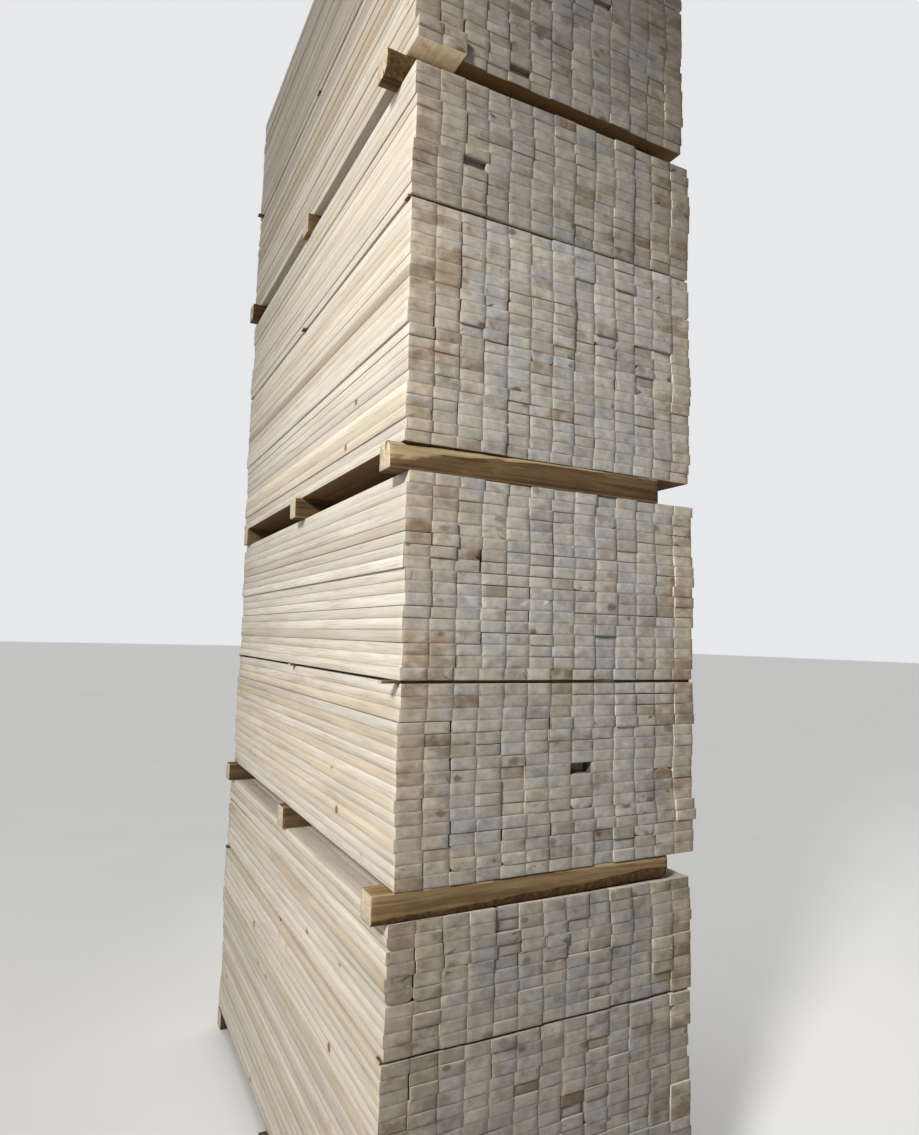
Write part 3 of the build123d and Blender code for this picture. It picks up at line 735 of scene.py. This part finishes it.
def dress_tier(tier_no, node_name, top_of_pack, bottom_of_pack):
    lo, hi = boxes_of(nodes[node_name])
    rng = np.random.default_rng(4100 + tier_no)
    z_base = lo[:, 2].min()
    row = np.round((lo[:, 2] - z_base) / ROW_PITCH).astype(int)
    col = np.zeros(len(lo), int)
    for r in range(row.max() + 1):
        here = np.where(row == r)[0]
        col[here[np.argsort(lo[here, 0])]] = np.arange(len(here))
    # boards lie tight: each fills the usual hairline of air beside and above it, but no real gap
    for r in range(row.max() + 1):
        here = np.where(row == r)[0]
        here = here[np.argsort(lo[here, 0])]
        air = lo[here[1:], 0] - hi[here[:-1], 0]
        fill = np.where(air < 0.0016, np.maximum(air / 2 - 0.00007, 0.0), 0.0)
        hi[here[:-1], 0] += fill
        lo[here[1:], 0] -= fill
    above = z_base + (row + 1) * ROW_PITCH - hi[:, 2]
    close = (above < 0.0011) | (col == COLUMNS - 1)
    hi[:, 2] += np.where(close & (row < row.max()), np.maximum(above - 0.00012, 0.0), 0.0)
    # drifting tone and warmth: like boards lie together here and there
    warm_map = rng.normal(0, 1, (row.max() + 2, COLUMNS + 1))
    made = []
    for group, first, last in GROUPS:
        verts, quads, tris = [], [], []
        lc, ta, tb, pk, kn, bk, ud, ag, en, sh = [], [], [], [], [], [], [], [], [], []
        uv_quads, uv_tris = [], []
        at = 0
        own = np.where((col >= first) & (col <= last))[0]
        sheet = Sheet(lo[own], hi[own], len(own), group != "middle")
        for b in own:
            edge = col[b] in (0, COLUMNS - 1)
            lid = (top_of_pack and row[b] == row.max()) or (bottom_of_pack and row[b] == 0)
            v, barked, n_rings = board(rng, lo[b], hi[b], edge or lid)
            bk.append(barked)
            # lowest row of a pack: ud 1 marks painted shade on the underside, -1 painted light on the underside of a
            # board that juts out in front
            juts = lo[b, 1] < np.median(lo[row == row[b], 1]) - 0.022
            ud.append(np.full(len(v), (-1.0 if juts else 1.0) if bottom_of_pack and row[b] == 0 else 0.0))
            sh.append(np.full(len(v), 0.0 if edge or lid else 1.0))
            ends = np.zeros(len(v))
            ends[:3 * RING] = 1.0
            ends[(n_rings - 3) * RING:] = 1.0
            en.append(ends)
            q, f = topology(n_rings)
            open_side = "left" if col[b] == 0 else "right" if col[b] == COLUMNS - 1 else None
            open_band = "lower" if bottom_of_pack and row[b] == 0 else "upper" if lid else None
            uq, uf = sheet.lay(v, n_rings, open_side, open_band)
            uv_quads.append(uq)
            uv_tris.append(uf)
            verts.append(v)
            quads.append(q + at)
            tris.append(f + at)
            at += len(v)
            c = (lo[b] + hi[b]) / 2
            lc.append(v - np.array([c[0], lo[b, 1], c[2]]))
            m = len(v)
            tone = np.clip(0.5 + 0.17 * rng.normal(), 0.0, 1.0)
            left_bias = 0.30 * (1.0 - col[b] / 12.0)
            warm = np.clip(0.30 + WARMER[tier_no] + left_bias + 0.17 * rng.normal() + 0.06 * warm_map[row[b], col[b]], 0.0, 1.0)
            stain = 0.0
            roll = rng.random()
            if roll < 0.030:
                stain = rng.uniform(0.45, 0.85)
            elif roll < 0.18:
                stain = rng.uniform(0.05, 0.35)
            ta.append(np.tile((tone, warm, stain), (m, 1)))
            ag.append(np.full(m, np.clip(AGED[tier_no] + 0.10 * rng.normal(), -0.3, 1.0)))
            tb.append(np.tile(rng.random(3), (m, 1)))
            pk.append(np.tile((rng.normal(0, 0.045), rng.choice((-1, 1)) * abs(rng.normal(0.02, 0.035)), rng.uniform(0.0022, 0.0048)), (m, 1)))
            if rng.random() < 0.085:
                kn.append(np.tile((rng.uniform(-0.042, 0.042), rng.uniform(-0.018, 0.018), rng.uniform(0.005, 0.017)), (m, 1)))
            else:
                kn.append(np.tile((0.5, 0.5, 0.0), (m, 1)))
        name = f"{node_name}_{group}"
        ob = build_mesh(name, np.concatenate(verts), np.concatenate(quads), np.concatenate(tris),
                        {"lc": np.concatenate(lc), "ta": np.concatenate(ta), "tb": np.concatenate(tb),
                         "pk": np.concatenate(pk), "kn": np.concatenate(kn), "bk": np.concatenate(bk),
                         "ud": np.concatenate(ud), "ag": np.concatenate(ag), "en": np.concatenate(en),
                         "sh": np.concatenate(sh)}, BOARD_MAT, np.concatenate(uv_quads + uv_tris))
        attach(ob, "root")
        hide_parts(node_name)
        made.append(ob)
    return made


tier_no = 0
for pack in PACKS:
    dress_tier(tier_no, f"{pack}_lower_tier_boards", False, True)
    tier_no += 1
    dress_tier(tier_no, f"{pack}_upper_tier_boards", True, False)
    tier_no += 1

# ------------------------------------------------------------------------------------------------
# bearers and laths
# ------------------------------------------------------------------------------------------------
BEARER_MAT = timber_material("bearer_timber", lin(66, 49, 31), lin(96, 73, 48), lin(134, 111, 80), 6.0)
LATH_MAT = timber_material("lath_wood", lin(70, 54, 38), lin(104, 84, 60), lin(138, 120, 94), 9.0)


def stick(rng, lo, hi, wane, steps):
    """A sawn timber along X.  Rings go from the -X end to the +X end."""
    cy, cz = (lo[1] + hi[1]) / 2, (lo[2] + hi[2]) / 2
    hy, hz = (hi[1] - lo[1]) / 2, (hi[2] - lo[2]) / 2
    x0, x1 = lo[0], hi[0]
    e = min(0.0012, hz * 0.3)
    xs = np.concatenate([[x0 + e], np.linspace(x0 + 0.02, x1 - 0.02, steps), [x1 - e]])
    n = len(xs)
    soft = min(0.0022, hz * 0.30)
    cut = np.abs(rng.normal(soft, soft * 0.35, (n, 4, 2)))
    bark = np.zeros((n, RING))
    for k, (size_y, size_z, at_start, at_end, barky, power) in wane.items():
        t = (xs - x0) / (x1 - x0)
        grow = np.clip(at_end + (at_start - at_end) * (1 - t) ** power, 0, 1)
        lump = 1.0 + 0.08 * np.sin(t * 15.0 + k) + 0.05 * np.sin(t * 41.0 + 2 * k) + rng.normal(0, 0.02, n)
        cut[:, k, 0] += size_y * grow * lump
        cut[:, k, 1] += size_z * grow * lump
        if barky:
            edge3 = {0: (0, 1, 2), 1: (5, 6, 7), 2: (8, 9, 10), 3: (13, 14, 15)}[k]
            for i, w in zip(edge3, (0.60, 1.0, 0.60)):
                share = 1.0 if barky > 0 else (0.28 + 0.36 * grow if w < 1.0 else np.clip(grow * 7.0, 0.0, 1.0))
                bark[:, i] = (w if barky > 0 else 1.0) * share * (grow > 0.05) * barky
    sec = section(hy, hz, cut)
    rings = np.zeros((n, RING, 3))
    # seen from the -X end the section's first axis runs towards -Y, so that the faces look outwards
    rings[:, :, 0] = xs[:, None]
    rings[:, :, 1] = cy - sec[:, :, 0]
    rings[:, :, 2] = cz + sec[:, :, 1]
    rings[:, :, 1] += np.sign(sec[:, :, 0]) * np.abs(rng.normal(0, 0.0005, (n, RING)))
    ends = []
    for first in (True, False):
        base = rings[0 if first else -1]
        inward = 1.0 if first else -1.0
        cap = base.copy()
        dy, dz = base[:, 1] - cy, base[:, 2] - cz
        cap[:, 1] = cy + np.sign(dy) * np.maximum(np.abs(dy) - e, 0)
        cap[:, 2] = cz + np.sign(dz) * np.maximum(np.abs(dz) - e, 0)
        cap[:, 0] = x0 if first else x1
        mid = cap.copy()
        mid[:, 1] = cy + (cap[:, 1] - cy) * 0.5
        mid[:, 2] = cz + (cap[:, 2] - cz) * 0.5
        mid[:, 0] += inward * np.abs(rng.normal(0, 0.0004, RING))
        ends.append((np.array([cap[0, 0] + inward * 0.0004, cy, cz]), mid, cap))
    (c0, m0, k0), (c1, m1, k1) = ends
    v = np.concatenate([np.concatenate([[m0], [k0], rings, [k1], [m1]]).reshape(-1, 3), [c0], [c1]])
    bk = np.concatenate([[bark[0]], [bark[0]], bark, [bark[-1]], [bark[-1]]])
    return v, np.concatenate([bk.ravel(), [0.0, 0.0]]), n + 4


def dress_stick(seed, node_name, material, wane, steps, paleness):
    lo, hi = (np.array(c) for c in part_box(node_name))
    rng = np.random.default_rng(seed)
    v, bk, n_rings = stick(rng, lo, hi, wane, steps)
    q, f = topology(n_rings)
    centre = (lo + hi) / 2
    ob = build_mesh(node_name + "_sawn", v, q, f,
                    {"lc": v - centre, "tb": np.tile(rng.random(3), (len(v), 1)), "bk": bk,
                     "pl": np.full(len(v), paleness)}, material,
                    stick_map(v, n_rings))
    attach(ob, "root")
    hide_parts(node_name)
    return ob


# which corners of each bearer are waney: depth, height, share at the left end, share at the right end,
# bark (1) or bare (-1), and how soon it changes over the length.
# corners as seen from the -X end: 0 lower back, 1 lower front, 2 upper front, 3 upper back
WANE = {
    "bearer_front_under_second_pack": {1: (0.032, 0.050, 0.22, 1.0, 1, 0.8), 2: (0.010, 0.012, 0.2, 1.0, -1, 1.0)},
    "bearer_front_under_third_pack": {2: (0.028, 0.050, 1.08, 0.13, -1, 3.4)},
    # painted shade: the waney front corners of the top pack's front bearer are real, but the dark bark over most of its
    # front face stands for the shade under the pack above
    "bearer_front_under_top_pack": {1: (0.030, 0.052, 0.9, 1.0, 1, 1.0), 2: (0.012, 0.030, 1.0, 0.8, 1, 1.0)},
    "bearer_middle_under_third_pack": {0: (0.018, 0.020, 0.8, 0.2, 1, 1.0)},
    "bearer_middle_under_second_pack": {3: (0.015, 0.020, 0.1, 0.9, -1, 1.0)},
    "bearer_back_under_top_pack": {1: (0.020, 0.024, 0.9, 0.3, 1, 1.0)},
    "bearer_front_under_bottom_pack": {2: (0.012, 0.018, 0.2, 0.7, -1, 1.0)},
}
# bearers of a paler timber than the others
PALER = {"bearer_front_under_second_pack": 0.85, "bearer_middle_under_top_pack": 0.5, "bearer_back_under_third_pack": 0.6}
seed = 900
for pack in PACKS:
    for where in ("front", "middle", "back"):
        n = f"bearer_{where}_under_{pack}"
        dress_stick(seed, n, BEARER_MAT, WANE.get(n, {}), 34, PALER.get(n, 0.0))
        seed += 1
        n = f"lath_{where}_in_{pack}"
        dress_stick(seed, n, LATH_MAT, {}, 26, 0.0)
        seed += 1

# ------------------------------------------------------------------------------------------------
# floor, light, camera
# ------------------------------------------------------------------------------------------------
def floor():
    t = Tree("pale_floor")
    place = t.node("ShaderNodeNewGeometry").outputs["Position"]
    n = t.noise(place, 0.8, 2.0)
    t.link(t.mix(n, lin(222, 221, 218), lin(229, 228, 225)), t.bsdf.inputs["Base Color"])
    t.bsdf.inputs["Roughness"].default_value = 0.85
    me = bpy.data.meshes.new("floor")
    s = 120.0
    me.from_pydata([(-s, -s, 0), (s, -s, 0), (s, s, 0), (-s, s, 0)], [], [(0, 1, 2, 3)])
    me.materials.append(t.mat)
    ob = bpy.data.objects.new("floor", me)
    scene.collection.objects.link(ob)


floor()

scene.view_settings.view_transform = "Standard"
scene.view_settings.look = "None"

# soft surround: pale behind the stack, dimmer in front of it
world = bpy.data.worlds.new("soft")
world.use_nodes = True
wt = world.node_tree
bg = wt.nodes["Background"]
around = wt.nodes.new("ShaderNodeTexCoord")
parts = wt.nodes.new("ShaderNodeSeparateXYZ")
fade = wt.nodes.new("ShaderNodeMapRange")
fade.interpolation_type = "SMOOTHSTEP"
fade.inputs["From Min"].default_value = -0.45
fade.inputs["From Max"].default_value = 0.85
blend = wt.nodes.new("ShaderNodeMix")
blend.data_type = "RGBA"
blend.inputs[6].default_value = (0.09, 0.09, 0.094, 1.0)
blend.inputs[7].default_value = (0.86, 0.87, 0.89, 1.0)
wt.links.new(around.outputs["Generated"], parts.inputs[0])
wt.links.new(parts.outputs[1], fade.inputs["Value"])
wt.links.new(fade.outputs["Result"], blend.inputs[0])
# the backdrop itself is the same pale grey all round
seen = wt.nodes.new("ShaderNodeLightPath")
backdrop = wt.nodes.new("ShaderNodeMix")
backdrop.data_type = "RGBA"
backdrop.inputs[7].default_value = (0.80, 0.81, 0.83, 1.0)
wt.links.new(seen.outputs["Is Camera Ray"], backdrop.inputs[0])
wt.links.new(blend.outputs[2], backdrop.inputs[6])
wt.links.new(backdrop.outputs[2], bg.inputs[0])
bg.inputs[1].default_value = 1.0
scene.world = world


def softbox(name, place, target, size, watts, colour):
    light = bpy.data.lights.new(name, "AREA")
    light.shape = "SQUARE"
    light.size = size
    light.energy = watts
    light.color = colour
    ob = bpy.data.objects.new(name, light)
    ob.location = place
    ob.rotation_mode = "QUATERNION"
    ob.rotation_quaternion = (Vector(place) - Vector(target)).to_track_quat("Z", "Y")
    ob.visible_camera = False
    scene.collection.objects.link(ob)


key = bpy.data.lights.new("key", "SPOT")
key.energy = 4900.0
key.color = (1.0, 0.985, 0.955)
key.shadow_soft_size = 0.85
key.spot_size = math.radians(37.0)
key.spot_blend = 1.0
key_ob = bpy.data.objects.new("key", key)
key_ob.location = (-6.7, -5.6, 6.8)
key_ob.rotation_mode = "QUATERNION"
key_ob.rotation_quaternion = (key_ob.location - Vector((0.0, -0.9, 2.35))).to_track_quat("Z", "Y")
key_ob.visible_camera = False
scene.collection.objects.link(key_ob)
overhead = bpy.data.lights.new("overhead", "SUN")
overhead.energy = 1.0
overhead.angle = math.radians(40.0)
overhead_ob = bpy.data.objects.new("overhead", overhead)
scene.collection.objects.link(overhead_ob)
softbox("side", (-7.0, 0.6, 4.5), (-0.6, 0.2, 2.6), 2.6, 60.0, (1.0, 0.985, 0.96))

# the camera stands where the photo's did: left of the column, a little above the second pack's laths
LEFT, FRONT, LATHS = -0.546350, -1.247366, 2 * 0.089 + 33 * ROW_PITCH + 0.010 + 16 * ROW_PITCH
K = 1.1635 / 1.160
cam_data = bpy.data.cameras.new("camera")
cam = bpy.data.objects.new("camera", cam_data)
scene.collection.objects.link(cam)
yaw, pitch, roll = 0.4726, 0.0938, 0.0261
fwd = Vector((math.sin(yaw) * math.cos(pitch), math.cos(yaw) * math.cos(pitch), math.sin(pitch)))
right = Vector((math.cos(yaw), -math.sin(yaw), 0.0))
up = right.cross(fwd)
r2 = right * math.cos(roll) + up * math.sin(roll)
u2 = up * math.cos(roll) - right * math.sin(roll)
m = Matrix((r2, u2, -fwd)).transposed().to_4x4()
m.translation = Vector((LEFT - 0.8743 * K, FRONT - 2.0748 * K, LATHS + 0.1414 * K))
cam.matrix_world = m
cam_data.sensor_fit = "VERTICAL"
cam_data.sensor_height = 36.0
cam_data.lens = 746.06 / 1135.0 * 36.0
cam_data.clip_end = 400.0
scene.camera = cam
